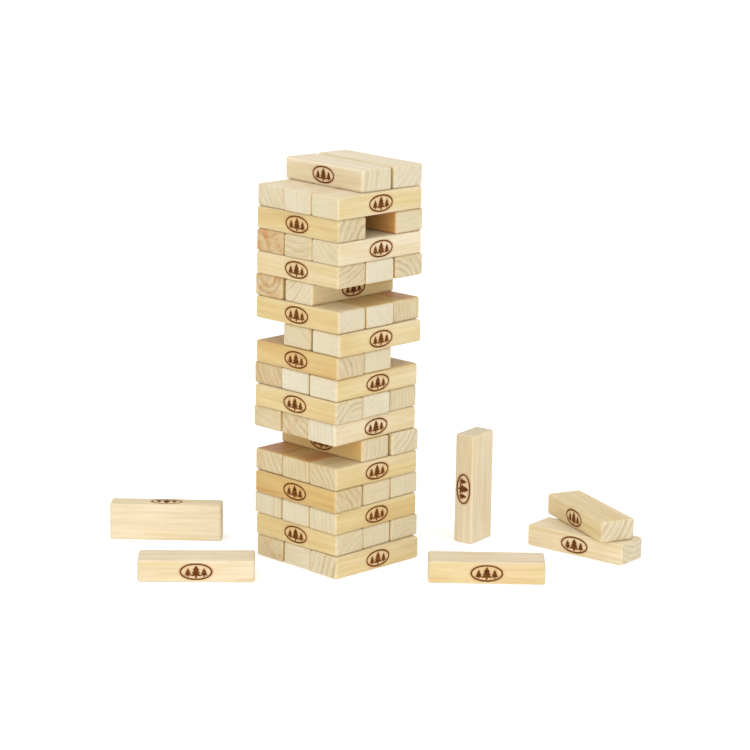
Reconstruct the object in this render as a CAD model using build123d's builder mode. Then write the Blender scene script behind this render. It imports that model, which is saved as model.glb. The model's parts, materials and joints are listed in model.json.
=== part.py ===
"""Giant tumbling tower: wooden blocks stacked three to a layer, with six more lying beside the stack.

The origin is the centre of the tower's base, on the ground, with +Z up. Odd layers run along Y and
even layers run along X, counted from the ground up. All sizes are in millimetres.
"""
from build123d import *
import os

# One block. Every block of the set is the same piece of sanded softwood.
BLOCK_LENGTH = 190.5
BLOCK_WIDTH = 63.5
BLOCK_THICKNESS = 36.9
EDGE_RADIUS = 4.0

# A block has to slide between the layers above and below it, so the layers stand a hair apart.
LAYER_CLEARANCE = 0.1
LAYER_PITCH = BLOCK_THICKNESS + LAYER_CLEARANCE

# Block names across a layer, by the direction in which the layer runs.
NAMES_ALONG_Y = ("left", "middle", "right")
NAMES_ALONG_X = ("front", "middle", "back")

# The stack, from the ground up, as players have left it. Each layer is (turn, first, second, third):
# the turn in degrees of the whole layer, then for each block how far it stands aside from its even
# place and how far it is pushed along its own length. None is a place that a block was drawn from.
LAYERS = (
    (-1.0, (3.0, 0.5), (5.0, 1.5), (6.0, 0.0)),
    (0.3, (1.0, 0.5), (1.8, -1.0), (3.0, 0.5)),
    (0.3, (-3.0, 0.5), (0.0, -1.0), (0.6, -1.0)),
    (0.0, (-2.6, 1.5), (1.0, -0.5), (2.8, -1.5)),
    (0.0, (-2.0, 1.0), (0.0, -0.5), (1.0, -1.5)),
    (0.2, None, (-4.0, -1.0), (0.0, 2.0)),
    (0.4, (-6.0, 0.5), (-4.0, 1.5), (-3.4, -2.0)),
    (0.4, (-3.5, 0.5), (-3.0, -1.0), (-0.4, -4.0)),
    (0.6, (-5.0, 1.0), (-4.5, 0.0), (-1.0, -2.0)),
    (0.2, (-2.5, 1.5), (-1.0, -1.0), None),
    (0.2, None, (-0.5, 0.5), (4.0, -0.5)),
    (1.0, (-1.0, -1.0), (0.0, 0.5), (1.0, -2.0)),
    (0.2, (-3.0, 0.0), (2.0, 1.0), None),
    (0.2, (-1.0, -0.5), (-0.2, 0.5), (3.2, 1.0)),
    (0.0, (-1.2, 0.0), (0.8, -0.5), (1.4, -0.5)),
    (-0.3, (0.5, -1.0), None, (2.5, 0.5)),
    (-0.8, (-0.8, 1.5), (-0.2, -0.5), (1.0, -0.5)),
    (-3.5, None, (-1.5, -3.0), (4.0, -4.0)),
)

# The six loose blocks on the ground: where the centre of each stands, and the turn of its length,
# or of its width for the upright one, from +X in degrees.
EDGE_BLOCK_PLACE = (-270, -138)
EDGE_BLOCK_TURN = 43.5
FLAT_LEFT_PLACE = (-69, -250)
FLAT_LEFT_TURN = 46.5
FLAT_RIGHT_PLACE = (259, 90)
FLAT_RIGHT_TURN = 44
UPRIGHT_PLACE = (91.5, 240)
UPRIGHT_TURN = 99
STACK_LOWER_PLACE = (270, 325)
STACK_LOWER_TURN = 7
STACK_UPPER_PLACE = (261, 349)
STACK_UPPER_TURN = -21

UP = Vector(0, 0, 1)


def level(degrees):
    """A level direction, turned from +X towards +Y."""
    return Vector(1, 0, 0).rotate(Axis.Z, degrees)


def make_block(name, centre, along, across):
    """One block about its centre, with its length and its width in the two given directions."""
    core = Plane(origin=centre, x_dir=along, z_dir=along.cross(across))
    with BuildPart() as block:
        with BuildSketch(core):
            Rectangle(BLOCK_LENGTH, BLOCK_WIDTH)
        extrude(amount=BLOCK_THICKNESS / 2, both=True)
        fillet(block.edges(), EDGE_RADIUS)
    block.part.label = name
    export_step(block.part, f"parts/{name}.step")


def make_layer(number, turn, blocks):
    """One layer of up to three blocks, side by side across the direction in which it runs."""
    runs_along_y = number % 2 == 1
    along = level(90 + turn) if runs_along_y else level(turn)
    across = level(turn) if runs_along_y else level(90 + turn)
    names = NAMES_ALONG_Y if runs_along_y else NAMES_ALONG_X
    middle_height = (number - 1) * LAYER_PITCH + BLOCK_THICKNESS / 2
    for place, (name, block) in enumerate(zip(names, blocks), start=-1):
        if block is None:
            continue
        aside, pushed = block
        centre = across * (place * BLOCK_WIDTH + aside) + along * pushed + UP * middle_height
        make_block(f"layer{number:02d}_{name}_block", centre, along, across)


def make_lying_block(name, place, turn, lift=0):
    """A block that lies flat on its broad side, the given height above the ground."""
    centre = Vector(*place, lift + BLOCK_THICKNESS / 2)
    make_block(name, centre, level(turn), level(turn + 90))


os.makedirs("parts", exist_ok=True)

for number, (turn, *blocks) in enumerate(LAYERS, start=1):
    make_layer(number, turn, blocks)

# Standing on its narrow long side, broad side to the front.
make_block(
    "loose_edge_block",
    Vector(*EDGE_BLOCK_PLACE, BLOCK_WIDTH / 2),
    level(EDGE_BLOCK_TURN),
    UP,
)
# Standing upright on one end.
make_block(
    "loose_upright_block",
    Vector(*UPRIGHT_PLACE, BLOCK_LENGTH / 2),
    UP,
    level(UPRIGHT_TURN),
)
make_lying_block("loose_front_left_block", FLAT_LEFT_PLACE, FLAT_LEFT_TURN)
make_lying_block("loose_front_right_block", FLAT_RIGHT_PLACE, FLAT_RIGHT_TURN)
make_lying_block("loose_stack_lower_block", STACK_LOWER_PLACE, STACK_LOWER_TURN)
make_lying_block("loose_stack_upper_block", STACK_UPPER_PLACE, STACK_UPPER_TURN, lift=LAYER_PITCH)
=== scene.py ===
"""The looks of the giant tumbling tower: 54 sanded softwood blocks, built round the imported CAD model.

Every block is a mesh with worn edges and a burned stamp, laid exactly where its CAD node is. Its wood
is cut from a log of its own, so the growth rings on its ends run on as grain along its sides.
Lengths are in metres, except where a name ends in _MM.
"""
import json
import math
import random

import bpy
import numpy as np
from mathutils import Matrix, Vector
from mathutils.geometry import delaunay_2d_cdt

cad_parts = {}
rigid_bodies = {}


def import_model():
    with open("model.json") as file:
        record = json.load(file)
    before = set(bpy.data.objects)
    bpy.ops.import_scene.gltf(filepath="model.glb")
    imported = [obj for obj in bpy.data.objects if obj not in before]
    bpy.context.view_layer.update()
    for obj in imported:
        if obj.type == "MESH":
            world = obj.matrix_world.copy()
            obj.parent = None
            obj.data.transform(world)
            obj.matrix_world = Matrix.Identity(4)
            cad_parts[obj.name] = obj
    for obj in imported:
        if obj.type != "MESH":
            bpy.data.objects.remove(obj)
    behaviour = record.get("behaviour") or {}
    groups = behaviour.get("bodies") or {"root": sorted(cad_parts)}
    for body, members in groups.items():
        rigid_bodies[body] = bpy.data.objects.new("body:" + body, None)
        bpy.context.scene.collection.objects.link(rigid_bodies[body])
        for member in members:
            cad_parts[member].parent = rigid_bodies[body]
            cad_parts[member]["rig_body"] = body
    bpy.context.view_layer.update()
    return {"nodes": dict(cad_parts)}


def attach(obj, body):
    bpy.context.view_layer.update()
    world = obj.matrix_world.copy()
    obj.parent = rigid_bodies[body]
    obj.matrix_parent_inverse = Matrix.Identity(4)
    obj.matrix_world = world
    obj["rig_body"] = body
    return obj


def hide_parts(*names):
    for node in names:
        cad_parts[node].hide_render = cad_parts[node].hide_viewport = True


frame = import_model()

MM = 0.001

# ---------------------------------------------------------------- the view and the light
VIEW_AZIMUTH = 44.3  # degrees from +Y round towards -X, as the camera looks
VIEW_DOWN = 13.3
VIEW_ROLL = 0.86
VIEW_DISTANCE = 4.472
VIEW_LENS_MM = 130.2
AIM = Vector((0.0476, 0.0398, 0.3126))
SENSOR_MM = 36
# The way to the viewer's side, along the diagonal between the tower's two visible faces.
TOWARDS_VIEWER = Vector((1, -1, 1))
VIEWERS_RIGHT = Vector((1, 1, 0))

# Light is given as the share of it that a white sheet facing it would give back.
LAMPS = {
    # lamp: (degrees to the right of the viewer, degrees up, degrees wide, light)
    "left_soft": (-22, 12, 50, 0.40),
    "right_soft": (48, 7, 45, 0.19),
    "top_soft": (0, 80, 50, 0.38),
}
FRONT_DOME = 0.66
BACK_DOME = 0.5
DOME_TURN = (-0.5, 0.3)  # cosines from the viewer's way between which the dome's light changes
SURROUND = 1.15  # what the lens and glossy wood see beyond the floor
FLOOR_GLOW = 0.28  # the floor is a light table
FLOOR_REACH = 12

# ---------------------------------------------------------------- the shape of a block
EDGE_RADIUS = 4 * MM
ROUND_ANGLES = (11.25, 22.5, 33.75, 45)  # degrees, the lines of the mesh round half an edge
LINE_STEP = 5 * MM
STAMP_STEP = 0.6 * MM
EDGE_WEAR = 0.5 * MM
EDGE_WEAR_WAVE = 22 * MM
FACE_WARP = 0.12 * MM
FACE_WARP_WAVE = 140 * MM
BURN_DEPTH = 0.5 * MM
FLAT_SIDE = math.cos(math.radians(3))  # a CAD face belongs to a flat side if its normal is this near

# The stamp: a plain conifer between two smaller ones in an oval ring.
RING_HALF_LENGTH_MM = 26.5
RING_HALF_HEIGHT_MM = 14.2
RING_LINE_MM = 2.5
TREES_MM = (  # the foot of each and its height
    ((0, -10.6), 21.5),
    ((-13.0, -8.6), 14.5),
    ((13.0, -8.6), 14.5),
)
TREE_TIERS = (  # shares of a tree's height: where a tier starts and ends, and half its width
    (0.16, 0.56, 0.42),
    (0.38, 0.78, 0.33),
    (0.60, 1.0, 0.24),
)
TRUNK_HALF_WIDTH = 0.07
TRUNK_HEIGHT = 0.2
BURN_EDGE_MM = (0.35, -0.45)  # from outside a burned line to its full depth
NO_STAMP_MM = 30.0  # the stamp's distance wherever there is none
STAMP_HALF_LENGTH = 30 * MM


# ================================================================ the blocks of the frame
def read_all(items, name, width):
    """One property of every point or face of a mesh, as rows of the given width."""
    values = np.empty(len(items) * width)
    items.foreach_get(name, values)
    return values.reshape(-1, width)


def flat_directions(normals, areas):
    """The directions that the flat sides face, from the smallest pair of sides to the largest."""
    _, rough = np.linalg.eigh((normals * areas).T @ normals)
    exact = []
    for direction in rough.T:
        facing = normals @ direction
        near = np.abs(facing) > FLAT_SIDE
        total = (normals * areas * np.sign(facing)[:, None])[near].sum(0)
        exact.append(total / np.linalg.norm(total))
    return exact


class Block:
    """Where a CAD node lies: its centre, its half sizes and its own three directions.

    The directions are along it, out of its stamped side and out of its broad side. Blocks at the
    back of the tower have the stamp on their outer side, and all the others on the viewer's side.
    """

    def __init__(self, node):
        mesh = frame["nodes"][node].data
        self.name = node
        _, across, thick = flat_directions(
            read_all(mesh.polygons, "normal", 3), read_all(mesh.polygons, "area", 1))
        faces_back = node.startswith("layer") and node.endswith(("_left_block", "_back_block"))
        outward = -1 if faces_back else 1
        across = across * np.sign(across @ np.array(TOWARDS_VIEWER)) * outward
        thick = thick * np.sign(thick @ np.array(TOWARDS_VIEWER))
        self.axes = np.array((np.cross(across, thick), across, thick))
        reach = read_all(mesh.vertices, "co", 3) @ self.axes.T
        self.centre = (reach.min(0) + reach.max(0)) / 2 @ self.axes
        self.half = (reach.max(0) - reach.min(0)) / 2

    def place(self, points):
        """Points in the block's own directions, moved to where the block lies."""
        return self.centre + points @ self.axes


# ================================================================ the stamp
def smooth_step(low, high, value):
    """0 at low, 1 at high, and smooth between them."""
    share = np.clip((value - low) / (high - low), 0, 1)
    return share * share * (3 - 2 * share)


def polygon_distance(points, corners):
    """Signed distance from each point to a polygon, negative inside."""
    corners = np.array(corners, float)
    best = np.full(len(points), np.inf)
    inside = np.zeros(len(points), bool)
    for start, end in zip(corners, np.roll(corners, -1, axis=0)):
        edge = end - start
        offset = points - start
        share = np.clip(offset @ edge / (edge @ edge), 0, 1)
        best = np.minimum(best, np.linalg.norm(offset - share[:, None] * edge, axis=1))
        crosses = (start[1] <= points[:, 1]) != (end[1] <= points[:, 1])
        rise = np.where(edge[1] == 0, 1, edge[1])
        crosses &= points[:, 0] < start[0] + edge[0] * (points[:, 1] - start[1]) / rise
        inside ^= crosses
    return np.where(inside, -best, best)


def ring_distance(points):
    """Signed distance to the oval ring round the stamp."""
    radii = np.array((RING_HALF_LENGTH_MM, RING_HALF_HEIGHT_MM)) - RING_LINE_MM / 2
    reach = np.linalg.norm(points / radii, axis=1)
    slope = np.linalg.norm(points / radii**2, axis=1)
    outline = reach * (reach - 1) / np.maximum(slope, 1e-9)
    return np.abs(outline) - RING_LINE_MM / 2


def tree_distance(points, foot, height):
    """Signed distance to a conifer of three tiers on a short trunk."""
    trunk, top = TRUNK_HALF_WIDTH * height, TRUNK_HEIGHT * height
    outlines = [[(-trunk, 0), (trunk, 0), (trunk, top), (-trunk, top)]]
    for low, high, wide in TREE_TIERS:
        outlines.append([(-wide * height, low * height), (wide * height, low * height), (0, high * height)])
    return np.min([polygon_distance(points - foot, outline) for outline in outlines], axis=0)


def stamp_distance(points):
    """Signed distance in mm to the burned lines of the stamp, for points in mm from its centre."""
    trees = [tree_distance(points, foot, height) for foot, height in TREES_MM]
    return np.min([ring_distance(points), *trees], axis=0)


# ================================================================ the mesh of a block
def lattice_lines(half):
    """Mesh lines across a block: even steps on the flat, and closer ones round the edges."""
    flat = half - EDGE_RADIUS
    steps = max(2, round(2 * flat / LINE_STEP))
    rounded = flat + EDGE_RADIUS * np.tan(np.radians(ROUND_ANGLES))
    return np.concatenate((-rounded[::-1], np.linspace(-flat, flat, steps + 1), rounded))


class BlockMesh:
    """The even form that all blocks share: its points, normals, faces and the stamp's distance."""

    def __init__(self, half):
        self.half = half
        self.lines = [lattice_lines(h) for h in half]
        self.index = {}
        self.points = []
        self.faces = []
        for axis in range(3):
            for last in (False, True):
                self.add_side(axis, last)
        self.fill_stamp()
        box = np.array(self.points)
        flat = half - EDGE_RADIUS
        core = np.clip(box, -flat, flat)
        out = box - core
        self.normals = out / np.linalg.norm(out, axis=1)[:, None]
        self.points = core + EDGE_RADIUS * self.normals
        self.faces = np.array(self.faces, dtype=object)

    def corner(self, key):
        """The number of the mesh point on these three lattice lines."""
        if key not in self.index:
            self.index[key] = len(self.points)
            self.points.append([self.lines[a][key[a]] for a in range(3)])
        return self.index[key]

    def in_stamp(self, i, k):
        """True for a cell of the stamped side that the stamp's finer mesh takes."""
        middle = (self.lines[0][i] + self.lines[0][i + 1]) / 2
        tall = (self.lines[2][k] + self.lines[2][k + 1]) / 2
        return abs(middle) < STAMP_HALF_LENGTH and abs(tall) < self.half[2] - EDGE_RADIUS

    def add_side(self, axis, last):
        """The cells of one side of the block, facing outward."""
        u, v = (axis + 1) % 3, (axis + 2) % 3
        level = len(self.lines[axis]) - 1 if last else 0
        stamped = axis == 1 and last
        for i in range(len(self.lines[u]) - 1):
            for j in range(len(self.lines[v]) - 1):
                if stamped and self.in_stamp(j, i):
                    continue
                cell = []
                for du, dv in ((0, 0), (1, 0), (1, 1), (0, 1)):
                    key = [0, 0, 0]
                    key[axis], key[u], key[v] = level, i + du, j + dv
                    cell.append(self.corner(tuple(key)))
                self.faces.append(cell if last else cell[::-1])

    def fill_stamp(self):
        """A fine mesh under the stamp, joined to the lattice round it."""
        lines_u, lines_w = self.lines[0], self.lines[2]
        inside_u = [i for i in range(len(lines_u) - 1) if self.in_stamp(i, len(lines_w) // 2)]
        inside_w = [k for k in range(len(lines_w) - 1) if self.in_stamp(len(lines_u) // 2, k)]
        i0, i1, k0, k1 = inside_u[0], inside_u[-1] + 1, inside_w[0], inside_w[-1] + 1
        top = len(self.lines[1]) - 1
        rim = [(i, k0) for i in range(i0, i1)] + [(i1, k) for k in range(k0, k1)]
        rim += [(i, k1) for i in range(i1, i0, -1)] + [(i0, k) for k in range(k1, k0, -1)]
        numbers = [self.corner((i, top, k)) for i, k in rim]
        flat = [(lines_u[i], lines_w[k]) for i, k in rim]
        across = np.arange(lines_u[i0] + STAMP_STEP, lines_u[i1] - STAMP_STEP / 2, STAMP_STEP)
        upward = np.arange(lines_w[k0] + STAMP_STEP, lines_w[k1] - STAMP_STEP / 2, STAMP_STEP)
        for u in across:
            for w in upward:
                numbers.append(len(self.points))
                self.points.append([u, self.lines[1][top], w])
                flat.append((u, w))
        result = delaunay_2d_cdt([Vector(p) * 1000 for p in flat], [], [], 0, 1e-6)
        origins, triangles = result[3], result[2]
        for triangle in triangles:
            self.faces.append([numbers[origins[p][0]] for p in reversed(triangle)])


def ripple(points, wavelength, seed):
    """A smooth uneven value from 0 to 1 at each point, about as wide as the wavelength."""
    pick = np.random.default_rng(seed)
    total = np.zeros(len(points))
    waves = 5
    for _ in range(waves):
        way = pick.normal(size=3)
        way *= 2 * math.pi / (wavelength * pick.uniform(0.6, 1.7) * np.linalg.norm(way))
        total += np.sin(points @ way + pick.uniform(0, 2 * math.pi))
    return 0.5 + 0.5 * np.tanh(total / math.sqrt(waves))


def shaped_points(form, seed, burn):
    """The block's points with its own wear, warp and burned stamp, all inward of the CAD shape."""
    roundness = (1 - np.abs(form.normals).max(1)) / (1 - math.sqrt(0.5))
    worn = EDGE_WEAR * roundness * (0.25 + ripple(form.points, EDGE_WEAR_WAVE, seed))
    warped = FACE_WARP * ripple(form.points, FACE_WARP_WAVE, seed + 1)
    points = form.points - form.normals * (worn + warped)[:, None]
    points[:, 1] -= BURN_DEPTH * smooth_step(*BURN_EDGE_MM, burn)
    return points, np.clip(roundness, 0, 1)


def face_weighted_normals(points, faces):
    """A normal at each point, from the faces round it by their area."""
    normals = np.zeros_like(points)
    for size in (3, 4):
        group = np.array([face for face in faces if len(face) == size])
        corners = points[group]
        first = corners[:, size - 2] - corners[:, 0]
        second = corners[:, size - 1] - corners[:, size - 3]
        for corner in range(size):
            np.add.at(normals, group[:, corner], np.cross(first, second))
    return normals / np.linalg.norm(normals, axis=1)[:, None]


# ================================================================ the wood of each block
# How each block was cut. side and end are the tones of its long sides and of its ends: 0 pale cream,
# 0.5 cream, 1 deep honey. The heart of its log lies in a direction on the end, in degrees from the
# viewer's right towards the top, so many block thicknesses away. Then the width of a year's growth in
# mm, how strongly the years show, and how much brown stain there is.
WOODS = {
    # block: (side, end, heart direction, heart distance, year, figure, stain)
    "layer18_middle": (0.12, 0.25, 175, 6.0, 12, 0.7, 0.0),
    "layer18_back": (0.30, 0.10, 140, 4.0, 12, 0.6, 0.0),
    "layer17_left": (0.30, 0.35, 30, 4.0, 12, 0.9, 0.1),
    "layer17_middle": (0.25, 0.25, 5, 6.0, 9, 0.4, 0.0),
    "layer17_right": (0.32, 0.40, 100, 5.0, 10, 0.3, 0.0),
    "layer16_front": (0.57, 0.52, -30, 2.6, 14, 1.4, 0.0),
    # layer16_back's deep side tone is painted shade on the tunnel wall.
    "layer16_back": (1.32, 0.40, 95, 5.0, 11, 0.3, 0.0),
    "layer15_left": (0.80, 1.00, 100, 1.0, 12, 1.0, 1.0),
    "layer15_middle": (0.40, 0.60, 95, 2.5, 11, 1.0, 0.0),
    "layer15_right": (0.08, 0.50, 50, 3.0, 11, 0.5, 0.0),
    "layer14_front": (0.48, 0.50, 115, 3.5, 8, 1.0, 0.1),
    "layer14_middle": (0.30, 0.05, 20, 5.0, 9, 0.3, 0.0),
    "layer14_back": (0.60, 0.45, 230, 1.8, 11, 1.2, 0.0),
    "layer13_left": (0.80, 0.80, 80, 0.6, 12, 1.1, 0.9),
    "layer13_middle": (0.52, 0.40, 140, 4.0, 8, 0.9, 0.0),
    "layer12_front": (0.62, 0.25, 130, 4.0, 10, 0.4, 0.0),
    "layer12_middle": (0.80, 0.15, 45, 2.5, 10, 0.4, 0.0),
    "layer12_back": (0.80, 0.55, 5, 6.0, 8, 0.6, 0.2),
    "layer11_middle": (0.50, 0.50, 40, 4.0, 7, 0.8, 0.0),
    "layer11_right": (0.50, 0.25, 90, 4.0, 10, 0.2, 0.0),
    "layer10_front": (0.90, 0.55, 200, 1.8, 12, 1.0, 0.2),
    "layer10_middle": (0.70, 0.30, 20, 5.0, 10, 0.3, 0.0),
    "layer09_left": (0.70, 0.75, 25, 3.5, 11, 1.2, 0.15),
    "layer09_middle": (0.30, 0.00, 90, 4.0, 10, 0.2, 0.0),
    "layer09_right": (0.52, 0.10, 90, 4.0, 10, 0.2, 0.0),
    "layer08_front": (0.58, 0.33, -65, 1.3, 10, 1.0, 0.0),
    "layer08_middle": (0.30, 0.10, -60, 3.0, 10, 0.3, 0.0),
    "layer08_back": (0.50, 0.50, 5, 6.0, 8, 0.7, 0.0),
    "layer07_left": (0.70, 0.65, 80, 4.0, 12, 0.4, 0.1),
    "layer07_middle": (0.60, 0.60, 50, 2.5, 13, 1.0, 0.6),
    "layer07_right": (0.26, 0.15, 5, 6.0, 8, 0.6, 0.0),
    # layer06_middle's deep side tone is painted shade on its recessed wall.
    "layer06_middle": (0.95, 0.38, 175, 5.0, 9, 1.1, 0.0),
    "layer06_back": (0.60, 0.33, 135, 2.5, 11, 1.0, 0.0),
    "layer05_left": (0.70, 0.60, 30, 3.0, 12, 1.0, 0.25),
    "layer05_middle": (0.70, 0.60, 5, 6.0, 8, 0.8, 0.0),
    "layer05_right": (0.52, 0.60, 215, 2.0, 10, 1.0, 0.0),
    "layer04_front": (1.00, 0.60, 205, 1.6, 11, 1.0, 0.15),
    "layer04_middle": (0.60, 0.50, 90, 5.0, 10, 0.3, 0.0),
    "layer04_back": (0.50, 0.30, 0, 6.0, 9, 0.4, 0.0),
    "layer03_left": (0.50, 0.35, 5, 5.0, 9, 0.7, 0.0),
    "layer03_middle": (0.50, 0.25, 0, 5.0, 10, 0.3, 0.0),
    "layer03_right": (0.60, 0.35, 10, 4.0, 9, 0.6, 0.0),
    "layer02_front": (0.52, 0.45, -50, 2.0, 11, 0.5, 0.0),
    "layer02_middle": (0.50, 0.30, 0, 5.0, 9, 0.4, 0.0),
    "layer02_back": (0.50, 0.40, -80, 1.6, 10, 0.5, 0.0),
    "layer01_left": (0.80, 0.70, 45, 3.0, 12, 0.6, 0.4),
    "layer01_middle": (0.40, 0.30, 90, 4.0, 10, 0.3, 0.0),
    "layer01_right": (0.46, 0.40, 165, 4.0, 12, 1.2, 0.0),
    "loose_edge": (0.32, 0.40, 80, 3.0, 10, 0.5, 0.0),
    "loose_front_left": (0.12, 0.30, 250, 4.0, 10, 0.5, 0.2),
    "loose_front_right": (0.38, 0.30, 95, 5.0, 11, 0.5, 0.25),
    # The paler side tones of loose_upright and loose_stack_upper offset the tower's shadow on them: painted
    # light.
    "loose_upright": (0.05, 0.40, 20, 4.0, 11, 0.6, 0.0),
    "loose_stack_lower": (0.22, 0.30, 80, 1.8, 9, 1.0, 0.0),
    "loose_stack_upper": (0.35, 0.25, 150, 3.5, 11, 1.3, 0.0),
}

# The broad sides of a block are painted this much paler than its narrow long sides, a painted sheen on the
# tops, except where a tone is given.
BROAD_PAINTED_SHEEN = 0.3
BROAD_PAINTED_LIGHT_TONES = {
    # Given tones of 1 and more paint the warm shade on the gap floors; the others set how much painted
    # sheen pales the open tops.
    "layer05_left": 1.35,
    "layer05_middle": 1.2,
    "layer09_middle": 1.2,
    "layer09_right": 1.1,
    "layer10_front": 1.05,
    "layer10_middle": 1.3,
    "layer12_middle": 1.15,
    "layer12_back": 1.25,
    "layer17_left": -0.25,
    "layer17_middle": -0.15,
    "layer18_back": 0.0,
    "loose_edge": 0.0,
    "loose_front_left": -0.3,
    "loose_front_right": -0.3,
    "loose_stack_upper": 0.4,
    "loose_upright": 0.0,
}


# A log's heart leans off the block's length by up to this slope, and bows by up to so much a metre.
HEART_LEAN = 0.03
HEART_BOW = 0.25


def growth_rings(points, block, wood, pick):
    """Each point's place in its log: along it, and off its heart in ring widths."""
    _, _, direction, distance, year, _, _ = wood
    angle = math.radians(direction)
    away = distance * 2 * block.half[2]
    rightward = 1 if block.axes[1] @ np.array(VIEWERS_RIGHT) > 0 else -1
    along = points[:, 0]
    lean_across = pick.uniform(-HEART_LEAN, HEART_LEAN)
    lean_up = pick.uniform(-HEART_LEAN, HEART_LEAN)
    bow = pick.uniform(-HEART_BOW, HEART_BOW)
    across = points[:, 1] - away * math.cos(angle) * rightward + lean_across * along + bow * along**2
    upward = points[:, 2] - away * math.sin(angle) + lean_up * along - bow * along**2
    return np.column_stack((along, across / (year * MM), upward / (year * MM)))


# ================================================================ materials
class Graph:
    """Short names for the nodes of one material."""

    def __init__(self, name):
        self.material = bpy.data.materials.new(name)
        self.material.use_nodes = True
        self.tree = self.material.node_tree
        self.tree.nodes.clear()

    def add(self, kind, inputs=(), **settings):
        """A node with its settings, and with its inputs set or linked by name or number."""
        node = self.tree.nodes.new(kind)
        for key, value in settings.items():
            setattr(node, key, value)
        for key, value in dict(inputs).items():
            if isinstance(value, bpy.types.NodeSocket):
                self.tree.links.new(value, node.inputs[key])
            else:
                node.inputs[key].default_value = value
        return node

    def attribute(self, name, output="Fac"):
        """A value that the mesh holds for each point."""
        return self.add("ShaderNodeAttribute", attribute_name=name).outputs[output]

    def math(self, operation, first, second=0.0, third=0.0):
        """A sum of up to three sockets or numbers."""
        inputs = {0: first, 1: second, 2: third}
        return self.add("ShaderNodeMath", inputs, operation=operation).outputs[0]

    def span(self, value, low, high, to_low=0.0, to_high=1.0):
        """value from low..high to to_low..to_high, smoothly and held at both ends."""
        inputs = {"Value": value, 1: low, 2: high, 3: to_low, 4: to_high}
        node = self.add("ShaderNodeMapRange", inputs, interpolation_type="SMOOTHSTEP")
        return node.outputs["Result"]

    def stretched(self, vector, factors):
        """The vector with each of its three parts multiplied by its own factor."""
        node = self.add("ShaderNodeVectorMath", {0: vector, 1: factors}, operation="MULTIPLY")
        return node.outputs["Vector"]

    def noise(self, vector, factors, detail=2.0, roughness=0.5):
        """Noise with that many features to a metre along, across and up the wood."""
        inputs = {"Vector": self.stretched(vector, factors), "Scale": 1.0, "Detail": detail,
                  "Roughness": roughness}
        return self.add("ShaderNodeTexNoise", inputs).outputs["Fac"]

    def ramp(self, value, stops, interpolation="LINEAR"):
        """A colour ramp: stops are (place, colour)."""
        node = self.add("ShaderNodeValToRGB", {"Fac": value})
        node.color_ramp.interpolation = interpolation
        elements = node.color_ramp.elements
        while len(elements) < len(stops):
            elements.new(1.0)
        for element, (place, colour) in zip(elements, stops):
            element.position = place
            element.color = (*colour, 1)
        return node.outputs["Color"]

    def tone(self, value, colours):
        """The wood's colour for a tone from 0 to TONE_SPAN."""
        places = [(number / (len(colours) - 1), colour) for number, colour in enumerate(colours)]
        return self.ramp(self.math("MULTIPLY", value, 1 / TONE_SPAN), places)

    def mix(self, share, first, second, blend="MIX"):
        """The first colour with that share of the second one, or of its product with it."""
        node = self.add("ShaderNodeMix", {0: share}, data_type="RGBA", blend_type=blend)
        for key, value in ((6, first), (7, second)):
            if isinstance(value, bpy.types.NodeSocket):
                self.tree.links.new(value, node.inputs[key])
            else:
                node.inputs[key].default_value = (*value, 1)
        return node.outputs[2]


def srgb(red, green, blue):
    """A colour given as 0..255 screen numbers, in the linear numbers that shaders take."""
    def linear(value):
        share = value / 255
        return share / 12.92 if share <= 0.04045 else ((share + 0.055) / 1.055) ** 2.4
    return linear(red), linear(green), linear(blue)


# Tones for 0, 0.5, 1 and 1.5: pale cream, cream, honey and reddish heartwood; the tones past 1 mostly paint
# the warm shade in the tunnel and on the gap floors.
TONE_SPAN = 1.5
SIDE_TONES = (srgb(222, 209, 182), srgb(212, 193, 143), srgb(201, 171, 107), srgb(193, 130, 64))
END_TONES = (srgb(213, 206, 185), srgb(207, 194, 160), srgb(197, 172, 126), srgb(168, 122, 76))
LATE_WOOD = srgb(198, 174, 136)  # multiplies the tone at the end of each year
BROWN_STAIN = srgb(190, 138, 76)
PORE = srgb(160, 122, 80)
# Lighter rounded edges: a painted highlight, partly rubbed wear.
RUBBED_EDGE_AND_HIGHLIGHT = srgb(228, 214, 186)
SCORCH = srgb(176, 118, 62)
DARK_CHAR, LIGHT_CHAR = srgb(66, 32, 4), srgb(122, 70, 18)
SCORCH_REACH_MM = 4.5


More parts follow.
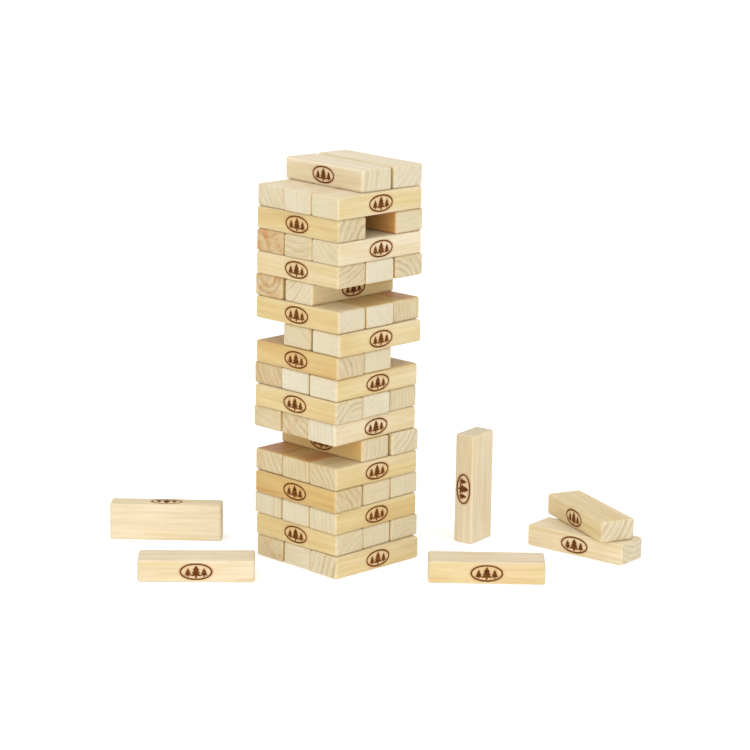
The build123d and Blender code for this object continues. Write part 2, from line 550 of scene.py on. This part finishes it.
def wood_material():
    """Sanded softwood, with rings, fibres and pores that follow each block's own log."""
    g = Graph("sanded_softwood")
    grain = g.attribute("grain", "Vector")
    rings = g.attribute("rings", "Vector")
    end = g.attribute("end")
    figure = g.attribute("figure")

    # Rings: how far from the heart, uneven as a tree grows, then the dark late wood of each year.
    flat = g.stretched(rings, (0, 1, 1))
    reach = g.add("ShaderNodeVectorMath", {0: flat}, operation="LENGTH").outputs["Value"]
    uneven = g.add("ShaderNodeTexNoise", {"W": g.math("MULTIPLY", reach, 0.7), "Detail": 1.0},
                   noise_dimensions="1D").outputs["Fac"]
    drift = g.math("MULTIPLY_ADD", uneven, 1.1, reach)
    drift = g.math("MULTIPLY_ADD", g.noise(grain, (5, 22, 22)), 1.4, drift)
    radius = g.math("MULTIPLY_ADD", g.noise(grain, (14, 160, 160), 3), 0.16, drift)
    year = g.math("FLOOR", radius)
    season = g.math("FRACT", radius)
    late = g.ramp(season, ((0, (0, 0, 0)), (0.35, (0.12,) * 3), (0.75, (0.7,) * 3), (0.9, (1, 1, 1)),
                           (1.0, (0, 0, 0))))
    vary = g.add("ShaderNodeTexWhiteNoise", {"W": year}, noise_dimensions="1D").outputs["Value"]
    late = g.math("MULTIPLY", late, g.math("MULTIPLY_ADD", vary, 0.6, 0.4))

    # Fibres run along the wood; pores and rays are short dashes in them.
    fibre = g.noise(grain, (18, 620, 620), 4, 0.62)
    streak = g.noise(grain, (7, 170, 170), 3, 0.55)
    broad = g.noise(grain, (5, 24, 24), 2)
    pores = g.span(g.noise(grain, (55, 1300, 1300), 2), 0.56, 0.72)

    shift = g.math("MULTIPLY_ADD", broad, 1.1, -0.55)
    side = g.tone(g.math("ADD", g.attribute("side_tone"), shift), SIDE_TONES)
    ends = g.tone(g.math("MULTIPLY_ADD", shift, 0.5, g.attribute("end_tone")), END_TONES)
    base = g.mix(end, side, ends)
    stain = g.span(g.noise(grain, (12, 55, 55), 3), 0.42, 0.68)
    stain = g.math("MULTIPLY", stain, g.math("MULTIPLY", g.attribute("stain"), 0.8))
    base = g.mix(stain, base, BROWN_STAIN)
    late_share = g.math("MULTIPLY", late, g.math("MULTIPLY_ADD", end, 0.42, 0.2))
    late_share = g.math("MULTIPLY", late_share, figure)
    colour = g.mix(late_share, base, g.mix(1.0, base, LATE_WOOD, "MULTIPLY"))
    streaks = g.ramp(fibre, ((0.3, (0.9, 0.87, 0.82)), (0.7, (1, 1, 1))))
    colour = g.mix(0.75, colour, streaks, "MULTIPLY")
    bands = g.ramp(streak, ((0.32, (0.91, 0.86, 0.76)), (0.68, (1.03, 1.03, 1.03))))
    colour = g.mix(g.math("MULTIPLY_ADD", end, -0.6, 0.9), colour, bands, "MULTIPLY")
    colour = g.mix(g.math("MULTIPLY", pores, 0.16), colour, PORE)
    # Rounded edges lightened: a painted highlight, partly rubbed wear.
    colour = g.mix(g.math("MULTIPLY", g.attribute("edge"), 0.15), colour, RUBBED_EDGE_AND_HIGHLIGHT)

    # The burned stamp: charred lines that fade into a scorched halo.
    stamp = g.math("MULTIPLY_ADD", g.noise(grain, (300, 900, 900), 2), 0.9, g.attribute("stamp"))
    halo = g.span(stamp, 0.0, SCORCH_REACH_MM, 0.5, 0.0)
    colour = g.mix(halo, colour, SCORCH)
    burn = g.span(stamp, 0.2, 0.85, 1.0, 0.0)
    char = g.ramp(g.noise(grain, (120, 500, 500), 3), ((0.35, DARK_CHAR), (0.7, LIGHT_CHAR)))
    colour = g.mix(burn, colour, char)

    # Charred lines are rougher than the sanded wood, and have next to none of its shine.
    rough = g.math("MULTIPLY_ADD", fibre, 0.16, 0.42)
    rough = g.math("MULTIPLY_ADD", burn, 0.25, rough)
    shine = g.math("MULTIPLY_ADD", burn, -0.2, 0.35)
    velvet = g.math("MULTIPLY_ADD", burn, -0.08, 0.08)
    height = g.math("MULTIPLY_ADD", late, 0.35, g.math("MULTIPLY", fibre, 0.8))
    height = g.math("SUBTRACT", height, g.math("MULTIPLY", pores, 0.5))
    bump = g.add("ShaderNodeBump", {"Height": height, "Strength": 0.35, "Distance": 0.25 * MM})
    surface = g.add("ShaderNodeBsdfPrincipled", {
        "Base Color": colour, "Roughness": rough, "Normal": bump.outputs["Normal"],
        "Specular IOR Level": shine, "Sheen Weight": velvet, "Sheen Roughness": 0.4})
    g.add("ShaderNodeOutputMaterial", {"Surface": surface.outputs["BSDF"]})
    return g.material


# ================================================================ making the pieces
def set_attribute(mesh, name, kind, values):
    """One value or vector for each point of the mesh, for the material to read."""
    layer = mesh.attributes.new(name, kind, "POINT")
    key = "vector" if kind == "FLOAT_VECTOR" else "value"
    layer.data.foreach_set(key, np.asarray(values, np.float32).ravel())


def make_piece(block, form, burn, number, material):
    """One finished block, riding on its body in place of its CAD node."""
    pick = random.Random(1000 + number)
    wood = WOODS[block.name.removesuffix("_block")]
    side_tone, end_tone, _, _, _, figure, stain = wood
    broad_painted_light_tone = BROAD_PAINTED_LIGHT_TONES.get(block.name.removesuffix("_block"), side_tone - BROAD_PAINTED_SHEEN)
    local, edge = shaped_points(form, 10 * number, burn)
    points = block.place(local)
    mesh = bpy.data.meshes.new(block.name)
    mesh.from_pydata(points.tolist(), [], list(form.faces))
    mesh.polygons.foreach_set("use_smooth", [True] * len(mesh.polygons))
    normals = face_weighted_normals(points, form.faces)
    mesh.normals_split_custom_set_from_vertices(normals.tolist())
    apart = np.array([pick.uniform(0, 40) for _ in range(3)])
    set_attribute(mesh, "grain", "FLOAT_VECTOR", local + apart)
    set_attribute(mesh, "rings", "FLOAT_VECTOR", growth_rings(local, block, wood, pick))
    set_attribute(mesh, "stamp", "FLOAT", burn)
    set_attribute(mesh, "edge", "FLOAT", edge)
    set_attribute(mesh, "end", "FLOAT", np.abs(form.normals[:, 0]) ** 2)
    # Broad sides take their own tone: painted sheen on the tops, painted shade on the gap floors.
    broad = np.abs(form.normals[:, 2]) ** 4
    set_attribute(mesh, "side_tone", "FLOAT", side_tone + (broad_painted_light_tone - side_tone) * broad)
    for name, value in (("end_tone", end_tone), ("figure", figure), ("stain", stain)):
        set_attribute(mesh, name, "FLOAT", np.full(len(local), value))
    mesh.materials.append(material)
    piece = bpy.data.objects.new(block.name.replace("_block", "_timber"), mesh)
    bpy.context.scene.collection.objects.link(piece)
    body = frame["nodes"][block.name]["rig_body"]
    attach(piece, body)
    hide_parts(block.name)


def make_pieces():
    """All the blocks, from one shared form."""
    material = wood_material()
    blocks = [Block(node) for node in sorted(frame["nodes"])]
    form = BlockMesh(blocks[0].half)
    burn = np.full(len(form.points), NO_STAMP_MM)
    stamped = (form.normals[:, 1] > 0.999) & (np.abs(form.points[:, 0]) < STAMP_HALF_LENGTH + LINE_STEP)
    burn[stamped] = stamp_distance(form.points[stamped][:, (0, 2)] / MM)
    for number, block in enumerate(blocks):
        make_piece(block, form, burn, number, material)


# ================================================================ the stage
def make_floor():
    """A plain white floor that glows a little, so that it meets the white surround."""
    g = Graph("pale_floor")
    tint = g.ramp(g.noise(g.add("ShaderNodeNewGeometry").outputs["Position"], (3, 3, 3)),
                  ((0.0, (0.9, 0.9, 0.9)), (1.0, (0.92, 0.92, 0.92))))
    surface = g.add("ShaderNodeBsdfPrincipled", {
        "Base Color": tint, "Roughness": 0.9, "Emission Color": (1, 1, 1, 1),
        "Emission Strength": FLOOR_GLOW})
    g.add("ShaderNodeOutputMaterial", {"Surface": surface.outputs["BSDF"]})
    mesh = bpy.data.meshes.new("floor")
    corners = [(x * FLOOR_REACH, y * FLOOR_REACH, 0) for x, y in ((-1, -1), (1, -1), (1, 1), (-1, 1))]
    mesh.from_pydata(corners, [], [(0, 1, 2, 3)])
    mesh.materials.append(g.material)
    floor = bpy.data.objects.new("floor", mesh)
    bpy.context.scene.collection.objects.link(floor)


def add_lamp(name, rightward, height, spread, strength):
    """A wide soft lamp that lights everything alike, from so far to the viewer's right and up."""
    light = bpy.data.lights.new(name, "SUN")
    light.angle = math.radians(spread)
    light.energy = strength * math.pi
    lamp = bpy.data.objects.new(name, light)
    turn, tilt = math.radians(VIEW_AZIMUTH + rightward), math.radians(height)
    back = Vector((math.sin(turn) * math.cos(tilt), -math.cos(turn) * math.cos(tilt), math.sin(tilt)))
    lamp.rotation_euler = back.to_track_quat("Z", "Y").to_euler()
    bpy.context.scene.collection.objects.link(lamp)


def make_light():
    """A white studio: a dome that is brighter on the viewer's side, and the soft lamps."""
    world = bpy.data.worlds.new("studio")
    world.use_nodes = True
    nodes, links = world.node_tree.nodes, world.node_tree.links
    sky = nodes["Background"]
    sky.inputs["Color"].default_value = (1, 1, 1, 1)
    way = nodes.new("ShaderNodeVectorMath")
    way.operation = "DOT_PRODUCT"
    way.inputs[1].default_value = Vector((TOWARDS_VIEWER.x, TOWARDS_VIEWER.y, 0)).normalized()
    links.new(nodes.new("ShaderNodeTexCoord").outputs["Generated"], way.inputs[0])
    dome = nodes.new("ShaderNodeMapRange")
    dome.interpolation_type = "SMOOTHSTEP"
    for key, value in ((1, DOME_TURN[0]), (2, DOME_TURN[1]), (3, BACK_DOME), (4, FRONT_DOME)):
        dome.inputs[key].default_value = value
    links.new(way.outputs["Value"], dome.inputs["Value"])
    seen = nodes.new("ShaderNodeMapRange")
    seen.inputs["To Min"].default_value = SURROUND
    links.new(nodes.new("ShaderNodeLightPath").outputs["Is Diffuse Ray"], seen.inputs["Value"])
    links.new(dome.outputs["Result"], seen.inputs["To Max"])
    links.new(seen.outputs["Result"], sky.inputs["Strength"])
    bpy.context.scene.world = world
    for name, settings in LAMPS.items():
        add_lamp(name, *settings)


def make_camera():
    """The viewer's camera, turned and tilted about the point that it aims at."""
    turn = math.radians(VIEW_AZIMUTH)
    down = math.radians(VIEW_DOWN)
    ahead = Vector((-math.sin(turn) * math.cos(down), math.cos(turn) * math.cos(down), -math.sin(down)))
    data = bpy.data.cameras.new("camera")
    data.lens = VIEW_LENS_MM
    data.sensor_width = SENSOR_MM
    camera = bpy.data.objects.new("camera", data)
    aimed = ahead.to_track_quat("-Z", "Y").to_matrix().to_4x4()
    rolled = Matrix.Rotation(math.radians(VIEW_ROLL), 4, "Z")
    camera.matrix_world = Matrix.Translation(AIM - ahead * VIEW_DISTANCE) @ aimed @ rolled
    bpy.context.scene.collection.objects.link(camera)
    bpy.context.scene.camera = camera


make_camera()
make_light()
make_floor()
make_pieces()
bpy.context.scene.view_settings.view_transform = "Standard"
